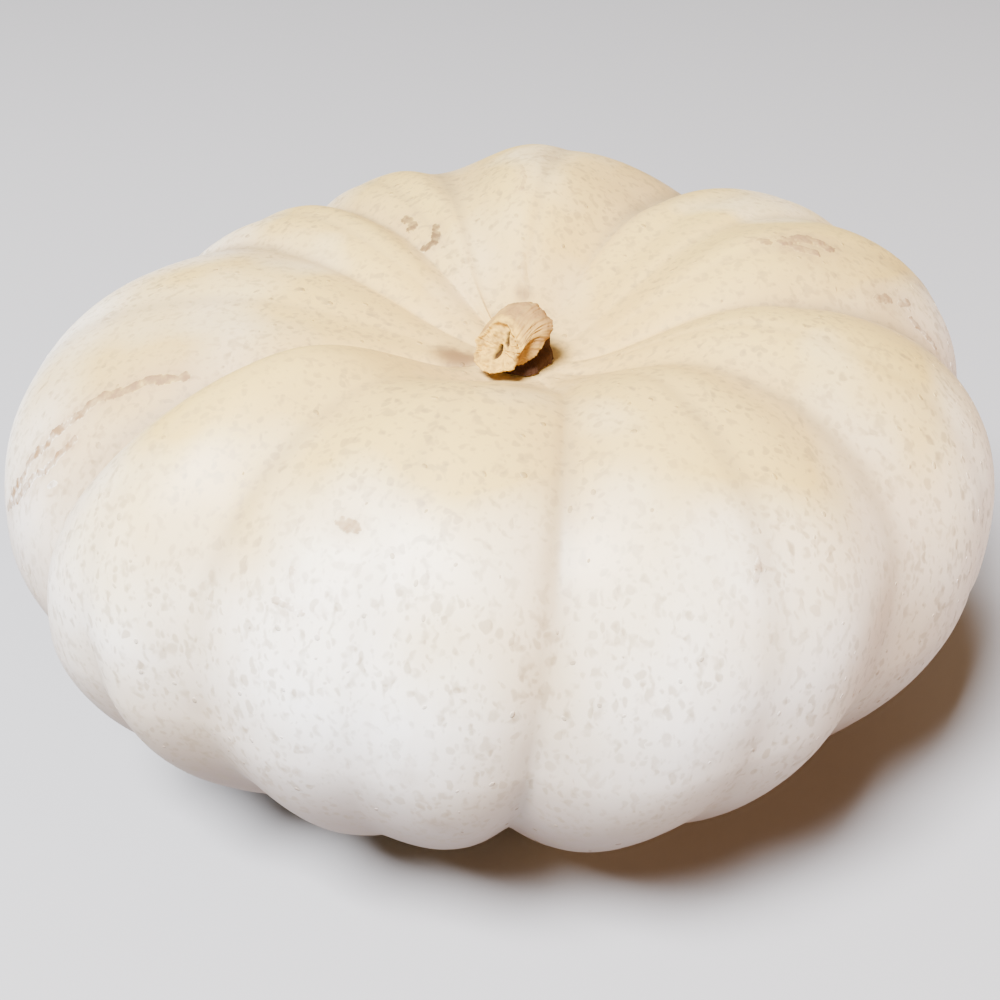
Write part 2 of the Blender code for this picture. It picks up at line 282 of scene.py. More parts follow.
def fruitTree(material):
    tree, size = newTree("lobedFruit", [*fruitValues, *relief])
    carried = {}
    for key in ("heading", "bend", "slant", "depth", "crownDepth", "softness", "across", "middleAt",
                "middleShare", "middleCrown", "middleSoft", "reach", "height", "angle", "inward"):
        carried[key] = addNode(tree, "GeometryNodeInputNamedAttribute", key, data_type="FLOAT")

    # Rounded profile and its normal
    up = addNode(tree, "COSINE", carried["angle"])
    aside = addNode(tree, "SINE", carried["angle"])
    top = addNode(tree, "GREATER_THAN", up, -1e-6)
    power = addNode(tree, mix, top, None, size["Bottom Squareness"], size["Top Squareness"])
    drop = addNode(tree, "MULTIPLY", size["Bottom Drop"], -1.0)
    tall = addNode(tree, mix, top, None, drop, size["Top Rise"])
    twoOver = addNode(tree, "DIVIDE", 2.0, power)
    lessOne = addNode(tree, "SUBTRACT", power, 1.0)
    asideSafe = addNode(tree, "MAXIMUM", aside, 1e-6)
    upSize = addNode(tree, "ABSOLUTE", up)
    parts = []
    for part, length in ((asideSafe, size["Half Width"]), (upSize, tall)):
        share = addNode(tree, "POWER", part, twoOver)
        steep = addNode(tree, "POWER", share, lessOne)
        parts.append((share, addNode(tree, "MULTIPLY", share, length),
                      addNode(tree, "DIVIDE", steep, length)))
    (shareOut, reach, leanOut), (_, level, leanUp) = parts
    lean = addNode(tree, joinAxes, leanOut, leanUp, 0.0)
    facing = addNode(tree, vector, lean, operation="NORMALIZE")
    facing = addNode(tree, splitAxes, facing).outputs

    # Across the lobe, for the main and the middle furrow: an arc that is slightly blunt in the furrow, or a
    # cosine valley where the furrow is soft, and a thin line at the bottom that is used only for painted
    # shade
    offMiddle = addNode(tree, "MULTIPLY_ADD", carried["across"], 2.0, -1.0)
    offMiddle = addNode(tree, "ABSOLUTE", offMiddle)
    left = addNode(tree, "DIVIDE", carried["across"], carried["middleAt"])
    right = addNode(tree, "SUBTRACT", 1.0, carried["across"])
    rightPart = addNode(tree, "SUBTRACT", 1.0, carried["middleAt"])
    right = addNode(tree, "DIVIDE", right, rightPart)
    toMiddle = addNode(tree, "MINIMUM", left, right)
    ofRise = addNode(tree, "DIVIDE", level, size["Top Rise"])
    crests, lines = [], []
    for share, softness, roundness, blunt in (
            (offMiddle, carried["softness"], size["Lobe Roundness"], size["Furrow Bluntness"]),
            (toMiddle, carried["middleSoft"], size["Middle Roundness"], size["Middle Bluntness"])):
        inwardShare = addNode(tree, "SUBTRACT", 1.0, share)
        squared = addNode(tree, "MULTIPLY", inwardShare, inwardShare)
        bluntSquared = addNode(tree, "MULTIPLY", blunt, blunt)
        total = addNode(tree, "ADD", squared, bluntSquared)
        soft = addNode(tree, "POWER", total, 0.5)
        soft = addNode(tree, "SUBTRACT", soft, blunt)
        rest = addNode(tree, "SUBTRACT", 1.0, soft, use_clamp=True)
        rest = addNode(tree, "POWER", rest, roundness)
        rest = addNode(tree, "SUBTRACT", 1.0, rest)
        inverse = addNode(tree, "DIVIDE", 1.0, roundness)
        arc = addNode(tree, "POWER", rest, inverse)
        wave = addNode(tree, "MULTIPLY", inwardShare, pi)
        wave = addNode(tree, "COSINE", wave)
        valley = addNode(tree, "MULTIPLY_ADD", wave, -0.5, 0.5)
        softHere = addNode(tree, ramp, ofRise, -0.95, -0.35, 0.0, softness, **eased)
        crests.append(addNode(tree, mix, softHere, None, arc, valley))
        lines.append(addNode(tree, ramp, inwardShare, 0.0, size["Crease Shade Width"], 1.0, 0.0, **eased))
    crest, middleCrest = crests

    # Each furrow goes over to its own depth near the crown
    nearCrown = addNode(tree, ramp, ofRise, -0.25, 0.8, 0.0, 1.0, **eased)
    middleShare = addNode(tree, mix, nearCrown, None, carried["middleShare"], carried["middleCrown"])
    dent = addNode(tree, "SUBTRACT", 1.0, middleCrest)
    dent = addNode(tree, "MULTIPLY", dent, middleShare)
    dent = addNode(tree, "MULTIPLY", dent, crest)
    cut = addNode(tree, "SUBTRACT", 1.0, crest)
    cut = addNode(tree, "ADD", cut, dent)
    depth = addNode(tree, mix, nearCrown, None, carried["depth"], carried["crownDepth"])
    fade = addNode(tree, ramp, reach, size["Seat Radius"], size["Furrow Full Radius"], 0.0, 1.0)
    fade = addNode(tree, "POWER", fade, 0.8)
    furrow = addNode(tree, "MULTIPLY", cut, depth)
    furrow = addNode(tree, "MULTIPLY", furrow, fade)
    sunk = addNode(tree, "MULTIPLY", furrow, size["Furrow Depth"])
    mainCreaseShade = addNode(tree, "MULTIPLY", lines[0], depth)
    middleCreaseShade = addNode(tree, "MULTIPLY", lines[1], middleShare)
    crease = addNode(tree, "MAXIMUM", mainCreaseShade, middleCreaseShade)
    crease = addNode(tree, "MULTIPLY", crease, fade)

    # Out from the middle, and round it
    sunkOut = addNode(tree, "MULTIPLY", sunk, facing["X"])
    out = addNode(tree, "MULTIPLY", reach, carried["reach"])
    out = addNode(tree, "SUBTRACT", out, sunkOut)
    out = addNode(tree, "MULTIPLY", out, carried["inward"])
    inShare = addNode(tree, "SUBTRACT", 1.0, shareOut)
    inSquared = addNode(tree, "MULTIPLY", inShare, inShare)
    inSquared = addNode(tree, "MULTIPLY", inSquared, top)
    levelShare = addNode(tree, "DIVIDE", level, size["Half Width"])
    turn = addNode(tree, "MULTIPLY_ADD", carried["bend"], inSquared, carried["heading"])
    slip = addNode(tree, "MULTIPLY", carried["slant"], levelShare)
    turn = addNode(tree, "SUBTRACT", turn, slip)
    shift = addNode(tree, "POWER", inShare, 1.5)
    shift = addNode(tree, "MULTIPLY", shift, top)
    places = []
    for axis, wave in (("X", "COSINE"), ("Y", "SINE")):
        way = addNode(tree, wave, turn)
        moved = addNode(tree, "MULTIPLY", shift, size["Crown Shift " + axis])
        places.append(addNode(tree, "MULTIPLY_ADD", out, way, moved))

    # Level of the top, with each lobe's own height and the dip in the crown
    sunkUp = addNode(tree, "MULTIPLY", sunk, facing["Y"])
    fromSeat = addNode(tree, "SUBTRACT", reach, size["Seat Radius"])
    ease = addNode(tree, ramp, fromSeat, 0.0, size["Height Ease"], 0.0, 1.0, **eased)
    ownHeight = addNode(tree, mix, ease, None, 1.0, carried["height"])
    dipShare = addNode(tree, "DIVIDE", reach, size["Crown Dip Radius"])
    dipShare = addNode(tree, "MULTIPLY", dipShare, dipShare)
    dipShare = addNode(tree, "MULTIPLY", dipShare, -1.0)
    dipShare = addNode(tree, "EXPONENT", dipShare)
    dip = addNode(tree, "MULTIPLY", dipShare, size["Crown Dip"])
    topLevel = addNode(tree, "MULTIPLY", level, ownHeight)
    topLevel = addNode(tree, "SUBTRACT", topLevel, sunkUp)
    topLevel = addNode(tree, "SUBTRACT", topLevel, dip)
    topLevel = addNode(tree, "ADD", topLevel, size["Rest Drop"])

    # Level of the underside, pressed flat where it rests and dished round the blossom scar
    lowLevel = addNode(tree, "SUBTRACT", level, sunkUp)
    lowLevel = addNode(tree, "ADD", lowLevel, size["Rest Drop"])
    lowLevel = addNode(tree, "SMOOTH_MAX", lowLevel, 0.0, size["Press Edge"])
    dish = addNode(tree, "DIVIDE", reach, size["Blossom Radius"])
    dish = addNode(tree, "MULTIPLY", dish, dish)
    dish = addNode(tree, "SUBTRACT", 1.0, dish, use_clamp=True)
    dish = addNode(tree, "MULTIPLY", dish, dish)
    lowLevel = addNode(tree, "MULTIPLY_ADD", dish, size["Blossom Dip"], lowLevel)
    placeZ = addNode(tree, mix, top, None, lowLevel, topLevel)
    place = addNode(tree, joinAxes, *places, placeZ)
    shaped = addNode(tree, "GeometryNodeSetPosition", size["Geometry"], None, place)
    # Kept for colour: how deep the furrow is, and the thin line of painted shade at its bottom
    for key, value in (("furrow", furrow), ("crease", crease)):
        shaped = addNode(tree, "GeometryNodeStoreNamedAttribute", shaped, None, key, value,
                         data_type="FLOAT", domain="POINT")

    # The rind's unevenness, three sizes of it, none where the fruit carries the stem or rests
    where = addNode(tree, "GeometryNodeInputPosition")
    outward = addNode(tree, "GeometryNodeInputNormal")
    lift = addNode(tree, ramp, placeZ, 1.5 * mm, 14 * mm, 0.0, 1.0)
    sunkIn = 0.0
    for key in ("Swell", "Dent", "Grain"):
        scale = addNode(tree, "DIVIDE", 1.0, size[key + " Size"])
        cloud = addNode(tree, noiseField, where, None, scale, 1.0)
        cloud = addNode(tree, "SUBTRACT", cloud, 0.5)
        amount = addNode(tree, "MULTIPLY", cloud, size[key + " Depth"])
        sunkIn = addNode(tree, "ADD", amount, sunkIn)
    sunkIn = addNode(tree, "MULTIPLY", sunkIn, lift)
    sunkIn = addNode(tree, "MULTIPLY", sunkIn, ease)
    sunkIn = addNode(tree, "MULTIPLY", sunkIn, -1.0)
    offset = addNode(tree, vector, {0: outward, "Scale": sunkIn}, operation="SCALE")
    rough = addNode(tree, "GeometryNodeSetPosition", shaped, None, None, offset)
    endTree(tree, rough, material)
    return tree


def applyTree(piece, tree, values):      # runs a node tree on a piece and keeps the result as its plain mesh
    modifier = piece.modifiers.new(tree.name, "NODES")
    modifier.node_group = tree
    for item in tree.interface.items_tree:
        if item.item_type == "SOCKET" and item.in_out == "INPUT" and item.name in values:
            modifier[item.identifier] = values[item.name]
    graph = bpy.context.evaluated_depsgraph_get()
    shaped = piece.evaluated_get(graph)
    mesh = bpy.data.meshes.new_from_object(shaped, preserve_all_data_layers=True, depsgraph=graph)
    piece.modifiers.remove(modifier)
    piece.data = mesh


rindColours = {
    "coolWhite": "#F1EEE8",      # crests that face outwards
    "warmCream": "#BC9F56",      # clouds of it, and painted shade of it over the top near the crown
    "paintedLowShade": "#664632",        # painted shade, darker towards the floor
    # partly the rind's own tan, partly painted shade in the furrows; the growth lines use it too
    "tanAndFurrowShade": "#A88B5E",
    "paintedCreaseShade": "#7E6B4B",      # painted shade: a thin line of it at the bottom of each furrow
    "crownTan": "#B89450",       # round the stem
    "speck": "#7C6848",
    "groundSpot": "#E9D3A0",     # paler yellow where the fruit lay on the soil
    "corkBrown": "#5A421E",
    "corkBlush": "#8C6C48",      # paler cork of shallow scars
    "stainBrown": "#6E5230",
}
rindPattern = {      # how strongly each colour shows where it is strongest, and the roughness
    # painted shade: how warm and dark the top is made
    "topPaintedShade": 1.0,
    "cloudWarmth": 0.38,
    "growthLines": 0.10,
    "tanAndFurrowShade": 0.80,
    "paintedCreaseShade": 0.50,
    "crownTan": 0.82,
    "paintedLowShade": 0.94,
    "groundSpot": 0.7,
    "mottle": 0.42,
    "rindRoughness": 0.46,
    "corkRoughness": 0.85,
}
# Freckles: spacing, largest reach as a share of it, strength
freckles = [(3.1 * mm, 0.44, 0.44), (2.1 * mm, 0.42, 0.30)]
# Flat stains: place in mm, reach in mm, strength
stains = [
    ((-14.5, -24.7, 153), 6.5, 0.90), ((-10.5, -25.4, 152.6), 6, 0.95), ((-6.5, -26.3, 152.4), 5, 0.90),
    ((-12, -25, 153), 12, 0.60), ((27, -45, 158.5), 10, 0.20), ((16.5, 75.5, 178.2), 11, 0.25),
    # The first stain here, behind the stem, is painted shade at the near end of the furrow that runs back
    # from it
    ((8.8, 7.5, 158.4), 5, 0.60), ((-21.7, -150.5, 93.4), 7, 0.22), ((-14.1, -146.5, 72.2), 8, 0.25),
    ((-81.1, -126.4, 97.6), 7, 0.18), ((101, 13, 173), 22, 0.24), ((128, 5, 158), 18, 0.20),
    ((-1.4, -4.4, 15.5), 13, 0.80),
]


def rindMaterial():      # living squash rind: waxy and matt, cloudy cream with faint corky freckles
    material, tree, place, carried = newMaterial("waxyPumpkinRind", ("furrow", "crease", "cork", "blush"))
    growth = addNode(tree, "ShaderNodeAttribute", attribute_name="growth").outputs["Vector"]
    height = addNode(tree, splitAxes, place).outputs["Z"]
    layers = []      # how much of each colour lies over the ones before it

    # Clouds about 70 mm wide, and painted shade that makes the rind warmer and darker towards the top
    cloud = addNode(tree, noiseField, place, None, 14.0, 2.0)
    high = addNode(tree, ramp, height, 112 * mm, 166 * mm, 0.0, rindPattern["topPaintedShade"])
    cloud = addNode(tree, ramp, cloud, 0.35, 0.7, -0.15, rindPattern["cloudWarmth"])
    warm = addNode(tree, "ADD", cloud, high, use_clamp=True)
    layers.append((warm, "warmCream"))

    # Growth lines that run from crown to base
    lines = addNode(tree, noiseField, growth, None, 34.0, 3.0)
    lines = addNode(tree, ramp, lines, 0.48, 0.72, 0.0, rindPattern["growthLines"])
    layers.append((lines, "tanAndFurrowShade"))

    # Painted shade, partly the rind's own tan, in the furrows and in a thin line at their bottoms, more on
    # top than at the sides
    furrowShade = addNode(tree, ramp, carried["furrow"], 0.20, 1.15, 0.0, rindPattern["tanAndFurrowShade"], **eased)
    thin = addNode(tree, ramp, carried["crease"], 0.05, 0.9, 0.0, rindPattern["paintedCreaseShade"])
    for tan, start, atSide, key in ((furrowShade, 60 * mm, 0.35, "tanAndFurrowShade"),
                                    (thin, 115 * mm, 0.16, "paintedCreaseShade")):
        onTop = addNode(tree, ramp, height, start, 150 * mm, atSide, 1.0)
        layers.append((addNode(tree, "MULTIPLY", tan, onTop), key))
    # Tan round the stem, painted shade that darkens towards the floor, and the paler ground spot
    fromStem = addNode(tree, vector, place, stemFoot, operation="DISTANCE").outputs["Value"]
    for measure, start, end, key in ((fromStem, 12 * mm, 95 * mm, "crownTan"),
                                     (height, 42 * mm, 128 * mm, "paintedLowShade"),
                                     (height, 2 * mm, 22 * mm, "groundSpot")):
        layers.append((addNode(tree, ramp, measure, start, end, rindPattern[key], 0.0, **eased), key))

    # Freckles 1 to 3 mm long, a little longer than wide, thicker in some places than in others
    wobble = addNode(tree, noiseField, place, None, 240.0, 1.0).outputs[1]
    wobble = addNode(tree, vector, wobble, (0.5, 0.5, 0.5), operation="SUBTRACT")
    wobble = addNode(tree, vector, {0: wobble, "Scale": 0.0035}, operation="SCALE")
    warped = addNode(tree, vector, place, wobble, operation="ADD")
    warped = addNode(tree, "ShaderNodeMapping", warped, None, (0.2, 0.15, 0.3), (1.0, 1.0, 0.6))
    where = addNode(tree, noiseField, place, None, 26.0, 2.0)
    where = addNode(tree, ramp, where, 0.32, 0.54, 0.55, 1.0)
    mottle = addNode(tree, noiseField, warped, None, 330.0, 1.5)
    mottle = addNode(tree, ramp, mottle, 0.53, 0.70, 0.0, rindPattern["mottle"], **eased)
    mottle = addNode(tree, "MULTIPLY", mottle, where)
    layers.append((mottle, "speck"))
    for size, radius, strength in freckles:
        cells = addNode(tree, "ShaderNodeTexVoronoi", {"Vector": warped, "Scale": 1 / size})
        chance = addNode(tree, "ShaderNodeSeparateColor", cells.outputs["Color"]).outputs[0]
        reach = addNode(tree, ramp, chance, 0.1, 1.0, 0.0, radius)
        speck = addNode(tree, "SUBTRACT", reach, cells.outputs["Distance"])
        speck = addNode(tree, ramp, speck, -0.06, 0.12, 0.0, strength, **eased)
        speck = addNode(tree, "MULTIPLY", speck, where)
        layers.append((speck, "speck"))

    # Stains with ragged edges
    ragged = addNode(tree, noiseField, place, None, 180.0, 3.0)
    for spot, reach, strength in stains:
        spot = tuple(v * mm for v in spot)
        away = addNode(tree, vector, place, spot, operation="DISTANCE").outputs["Value"]
        away = addNode(tree, "MULTIPLY_ADD", ragged, reach * mm, away)
        mask = addNode(tree, ramp, away, reach * 0.55 * mm, reach * 1.5 * mm, strength, 0.0, **eased)
        layers.append((mask, "stainBrown"))

    # Cork on scars and warts
    cork = overlay(tree, linear(rindColours["corkBrown"]), [(carried["blush"], "corkBlush")], rindColours)
    layers.append((carried["cork"], cork))
    shade = overlay(tree, linear(rindColours["coolWhite"]), layers, rindColours)
    rough = addNode(tree, ramp, carried["cork"], 0.0, 0.6, rindPattern["rindRoughness"],
                    rindPattern["corkRoughness"])
    pores = addNode(tree, noiseField, place, None, 900.0, 2.0)
    bump = addNode(tree, "ShaderNodeBump", {"Strength": 0.12, "Distance": 0.15 * mm, "Height": pores})
    shader = addNode(tree, "ShaderNodeBsdfPrincipled", {
        "Base Color": shade, "Roughness": rough, "Normal": bump, "IOR": 1.45, "Subsurface Weight": 0.05,
        "Subsurface Radius": (1.0, 0.7, 0.4), "Subsurface Scale": 4 * mm})
    addNode(tree, "ShaderNodeOutputMaterial", shader)
    return material


def makeFruit(rind):
    piece = fruitGrid()
    applyTree(piece, fruitTree(rind), {**fruitValues, **relief})
    places = np.empty(len(piece.data.vertices) * 3, np.float32)
    piece.data.vertices.foreach_get("co", places)
    places = places.reshape(-1, 3)
    low, high = places.min(0), places.max(0)
    room = np.array([0.3 * mm, 0.3 * mm, 0.15 * mm])      # left for the warts inside the CAD fruit's box
    grow = (fruitBox[1] - fruitBox[0] - 2 * room) / (high - low)
    shift = fruitBox[0] + room * (1, 1, 0) - low * grow
    piece.data.transform(Matrix.Translation(Vector(shift)) @ Matrix.Diagonal((*grow, 1.0)))
    piece.data.update()
    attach(piece, "root")
    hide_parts("fruit")
    print("fruit:", len(piece.data.polygons), "faces, grown by", grow.round(4))
    return piece, Vector(shift)


# The stem: a stub that hooks over to the left and front, and is broken off there
stemValues = {
    "footRadius": 9.4 * mm,
    "endRadius": 8.1 * mm,
    "endCentre": (-6.2 * mm, -11.0 * mm, 9.6 * mm),      # from the middle of the foot
    "endFacing": (-0.55, -0.65, 0.52),
    "endHollow": 2.2 * mm,
    "backHeading": 50,
    "backRise": 26 * mm,
    "frontRise": 3 * mm,
    "ribs": 5,
    "ribHeight": 0.7 * mm,
    "footFlare": 1.1 * mm,
    "fibreDepth": 0.35 * mm,
    "lumpDepth": 0.9 * mm,
    "rimRaggedness": 1.1 * mm,
    "hollowHeading": -66,       # the rotted hollow under the overhang
    "hollowWidth": 70,
    "hollowDepth": 3.6 * mm,
    "hollowAlong": (0.06, 0.18, 0.32, 0.48),      # starts, is full, thins out, ends: foot 0, rim 1
    "curlHeight": 1.2 * mm,      # strip of bark left standing in the hollow
    "curlAlong": 0.24,
    "shoulder": 3.3 * mm,        # swelling of the bark above the hollow
    "shoulderAlong": 0.44,
    "shoulderTurn": 52,          # degrees on from the hollow's heading
    "faceLumps": 1.7 * mm,
    "faceGrain": 0.45 * mm,
    "rimLip": 0.9 * mm,
    "slitDepth": 2.4 * mm,
    "slitWidth": 0.75 * mm,
    "sides": 300,
    "sideRings": 110,
    "faceRings": 70,
}
slits = [      # cracks in the broken face: both ends, in mm from its middle
    ((2.2, -0.2, 2.1), (2.9, 1.2, 4.5)),
    ((-1.5, -0.3, -2.0), (-0.2, 0.9, 0.9)),
]


def bell(value, middle, width):
    return np.exp(-((value - middle) / width) ** 2)


def smoothStep(value, low, high):
    share = np.clip((value - low) / (high - low), 0, 1)
    return share * share * (3 - 2 * share)


def cloudNoise(points, size, seed=0.0):      # -1 to 1 at each point, with features of about this size
    return np.array([noise.noise(Vector(point) / size + Vector((seed, 0, 0))) for point in points])


def unit(vectors):
    return vectors / np.maximum(np.linalg.norm(vectors, axis=-1, keepdims=True), 1e-9)


def stemPlaces(heading, along):      # side of the stub, from its foot (0) to the rim of the broken end (1)
    v = stemValues
    facing = unit(np.array(v["endFacing"]))
    outward = np.stack([np.cos(heading), np.sin(heading), 0 * heading], -1)
    foot = outward * (v["footRadius"] + v["ribHeight"] * np.cos(v["ribs"] * heading))[..., None]
    inFace = unit(outward - facing * (outward @ facing)[..., None])
    wide = v["endRadius"] + v["ribHeight"] * np.cos(v["ribs"] * heading + 1)
    end = np.array(v["endCentre"]) + inFace * wide[..., None]
    back = (1 + np.cos(heading - radians(v["backHeading"]))) / 2
    rise = v["frontRise"] + (v["backRise"] - v["frontRise"]) * back
    knee = foot + np.stack([0 * rise, 0 * rise, rise], -1)
    a = along[..., None]
    return foot * (1 - a) ** 2 + knee * 2 * a * (1 - a) + end * a ** 2


def makeStem(cork):
    v = stemValues
    facing = unit(np.array(v["endFacing"]))
    endCentre = np.array(v["endCentre"])
    sides, rings = v["sides"], v["sideRings"]
    heading, along = np.meshgrid(tau * np.arange(sides) / sides, np.linspace(0, 1, rings), indexing="xy")
    place = stemPlaces(heading, along)
    middle = place.mean(axis=1, keepdims=True)
    outward = unit(place - middle)
    around, up = heading.ravel(), along.ravel()
    fibre = np.stack([np.cos(around) * 7, np.sin(around) * 7, up * 2.2], 1)
    strands = np.array([abs(noise.noise(Vector(f))) for f in fibre]).reshape(rings, sides)
    fine = np.array([noise.noise(Vector(f) * 2.6) for f in fibre]).reshape(rings, sides)
    lumps = cloudNoise(place.reshape(-1, 3), 5.5 * mm, 3.0).reshape(rings, sides)
    grains = cloudNoise(place.reshape(-1, 3), 1.1 * mm, 8.0).reshape(rings, sides)

    # The hollow lies under the overhang, with a strip of bark along its lower part
    turn = (np.degrees(heading) - v["hollowHeading"] + 180) % 360 - 180
    reach = np.clip(1.25 - (turn / v["hollowWidth"]) ** 2, 0, 1)
    start, full, thinning, end = v["hollowAlong"]
    hollow = smoothStep(reach, 0.0, 0.45) * smoothStep(along, start, full)
    hollow *= 1 - smoothStep(along, thinning, end)
    curlAt = v["curlAlong"] + 0.04 * np.sin(np.radians(turn) * 3)
    curl = bell(along, curlAt, 0.05) * smoothStep(reach, 0.3, 0.8)
    flare = np.exp(-along / 0.10)
    fadeEnd = 1 - smoothStep(along, 0.9, 1.0) * 0.5
    offset = v["footFlare"] * flare * (1 + 0.5 * lumps)
    offset -= v["fibreDepth"] * (1.6 - 2.4 * np.clip(strands, 0, 0.6)) * fadeEnd
    offset += v["fibreDepth"] * (0.7 * fine + 0.5 * grains)
    offset += v["lumpDepth"] * lumps * smoothStep(along, 0.1, 0.4)
    offset -= v["hollowDepth"] * hollow * (1 + 0.35 * lumps + 0.2 * grains)
    offset += v["curlHeight"] * curl
    offset += v["shoulder"] * bell(along, v["shoulderAlong"], 0.24) * bell(turn, v["shoulderTurn"], 60)
    place = place + outward * offset[..., None]
    place[0, :, 2] = 0.0

    # Ragged rim
    rim = np.array([noise.noise(Vector((cos(h) * 2.6, sin(h) * 2.6, 4.0))) +
                    0.5 * noise.noise(Vector((cos(h) * 9, sin(h) * 9, 7.0))) for h in heading[0]])
    lift = along ** 6 * (v["rimRaggedness"] * rim)[None, :]
    place = place + facing * lift[..., None]

    # Broken face, sunk and lumpy, with slits where the fibres pulled apart
    inner = np.arange(1, v["faceRings"]) / v["faceRings"]
    sunkCentre = endCentre - facing * v["endHollow"]
    edge = place[-1]
    face = edge[None] * (1 - inner[:, None, None]) + sunkCentre * inner[:, None, None]
    fromRim = np.minimum(inner / 0.16, 1)[:, None] * np.ones(sides)
    big = cloudNoise(face.reshape(-1, 3), 3.4 * mm, 21.0).reshape(fromRim.shape)
    small = cloudNoise(face.reshape(-1, 3), 1.0 * mm, 5.0).reshape(fromRim.shape)
    height = fromRim * (v["faceLumps"] * big + v["faceGrain"] * small)
    height += v["rimLip"] * bell(inner, 0.06, 0.07)[:, None]
    slit = np.zeros(fromRim.shape)
    for start, stop in slits:
        start, stop = np.array(start) * mm, np.array(stop) * mm
        way = stop - start
        fromStart = face - endCentre - start
        share = np.clip(fromStart @ way / (way @ way), 0, 1)
        across = fromStart - share[..., None] * way
        across -= facing * (across @ facing)[..., None]
        wide = v["slitWidth"] * (1.2 - 0.5 * share + 0.5 * small)
        slit = np.maximum(slit, bell(np.linalg.norm(across, axis=-1), 0, wide))
    face = face + facing * (height - v["slitDepth"] * slit)[..., None]
    sunkCentre = face[-1].mean(axis=0)

    points = np.concatenate([place.reshape(-1, 3), face.reshape(-1, 3), [[0, 0, 0], sunkCentre]])
    points = points + np.array(stemFoot)
    total = rings + len(inner)
    faces = [quad[::-1] for quad in gridFaces(total, sides)]
    foot, last = total * sides, (total - 1) * sides
    for side in range(sides):
        after = (side + 1) % sides
        faces.append((foot, after, side))
        faces.append((foot + 1, last + side, last + after))

    # Where it is freshly broken, dark with rot and painted shade, a strip of bark in the hollow, or a groove
    # between fibres
    blank = np.zeros(face.shape[:2]).ravel()
    fresh = np.concatenate([smoothStep(along, 0.9, 0.99).ravel(), blank + 1, [0, 1]])
    # Rot and painted shade: dark in the hollow under the overhang, round the foot, in the gap at its front
    # and in the cracks
    rotAndShade = np.maximum(hollow * (1 - 0.75 * curl), 0.9 * np.exp(-along / 0.07) * smoothStep(reach, 0, 0.6))
    rotAndShade = np.maximum(rotAndShade, 0.5 * np.exp(-along / 0.05))
    footShadeAndRot = (1 - smoothStep(np.abs(turn - 10), 78, 100)) * (1 - smoothStep(along, 0.17, 0.27))
    rotAndShade = np.maximum(rotAndShade, footShadeAndRot * (1 - curl))
    rotAndShade = np.concatenate([rotAndShade.ravel(), np.clip(1.7 * slit.ravel() - 0.15, 0, 0.8), [1, 0]])
    barkCurl = np.concatenate([(curl * hollow).ravel(), blank, [0, 0]])
    furrowed = np.concatenate([(1 - np.clip(strands * 2.5, 0, 1)).ravel(), blank + 0.3, [0, 0]])
    run = np.concatenate([fibre, np.tile(fibre[-1] * 0, (face.shape[0] * sides + 2, 1))])
    piece = newMesh("stemCork", points, faces, {"fresh": fresh, "rotAndShade": rotAndShade, "barkCurl": barkCurl,
                                                "strand": furrowed, "fibre": run})
    piece.data.materials.append(cork)
    piece.data.shade_smooth()
    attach(piece, "root")
    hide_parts("stem")
    print("stem:", len(piece.data.polygons), "faces")


corkColours = {
    "bark": "#765624",
    "barkPale": "#A27E34",       # blotches
    "barkBlush": "#7A6346",      # greyer, on top of the hook
    "strand": "#8A6436",         # grooves between fibres
    "fresh": "#B8903A",          # broken face
    "freshTan": "#7E5E2C",       # crumbs in it
    # the brown of rot, laid also as painted shade in the hollow, round the foot and in the cracks
    "rotAndShade": "#38200F",
    "curl": "#8A6658",           # strip of bark left in the hollow
}


def corkMaterial():      # dried squash stem: dull, fibrous cork, cream where it broke, brown where it rots and as painted shade
    material, tree, place, mask = newMaterial("driedStemCork", ("fresh", "rotAndShade", "barkCurl", "strand"))
    fibre = addNode(tree, "ShaderNodeAttribute", attribute_name="fibre").outputs["Vector"]

    # Bark
    blotch = addNode(tree, noiseField, place, None, 160.0, 3.0)
    blotch = addNode(tree, ramp, blotch, 0.40, 0.60, 0.0, 1.0)
    height = addNode(tree, splitAxes, place).outputs["Z"]
    upper = addNode(tree, ramp, height, stemFoot.z + 12 * mm, stemFoot.z + 19 * mm, 0.0, 0.35, **eased)
    threads = addNode(tree, noiseField, fibre, None, 2.4, 4.0)
    threads = addNode(tree, ramp, threads, 0.42, 0.7, 0.0, 0.6)
    deepStrand = addNode(tree, "MULTIPLY", mask["strand"], 0.35)
    layers = [(blotch, "barkPale"), (upper, "barkBlush"), (threads, "strand"), (deepStrand, "strand")]

    # Crumbly broken face, rot with painted shade, and the strip of bark left in the hollow
    crumb = addNode(tree, noiseField, place, None, 420.0, 3.0)
    crumbShare = addNode(tree, ramp, crumb, 0.42, 0.68, 0.0, 0.75)
    pale = overlay(tree, linear(corkColours["fresh"]), [(crumbShare, "freshTan")], corkColours)
    rotAndShadeAmount = addNode(tree, "MULTIPLY", mask["rotAndShade"], 1.15, use_clamp=True)
    layers += [(mask["fresh"], pale), (rotAndShadeAmount, "rotAndShade"), (mask["barkCurl"], "curl")]
    shade = overlay(tree, linear(corkColours["bark"]), layers, corkColours)
    grit = addNode(tree, noiseField, place, None, 1400.0, 3.0)
    grit = addNode(tree, "ADD", crumb, grit)
    bump = addNode(tree, "ShaderNodeBump", {"Strength": 0.45, "Distance": 0.35 * mm, "Height": grit})
    shader = addNode(tree, "ShaderNodeBsdfPrincipled", {
        "Base Color": shade, "Roughness": 0.88, "Normal": bump, "IOR": 1.4, "Specular IOR Level": 0.3})
    addNode(tree, "ShaderNodeOutputMaterial", shader)
    return material


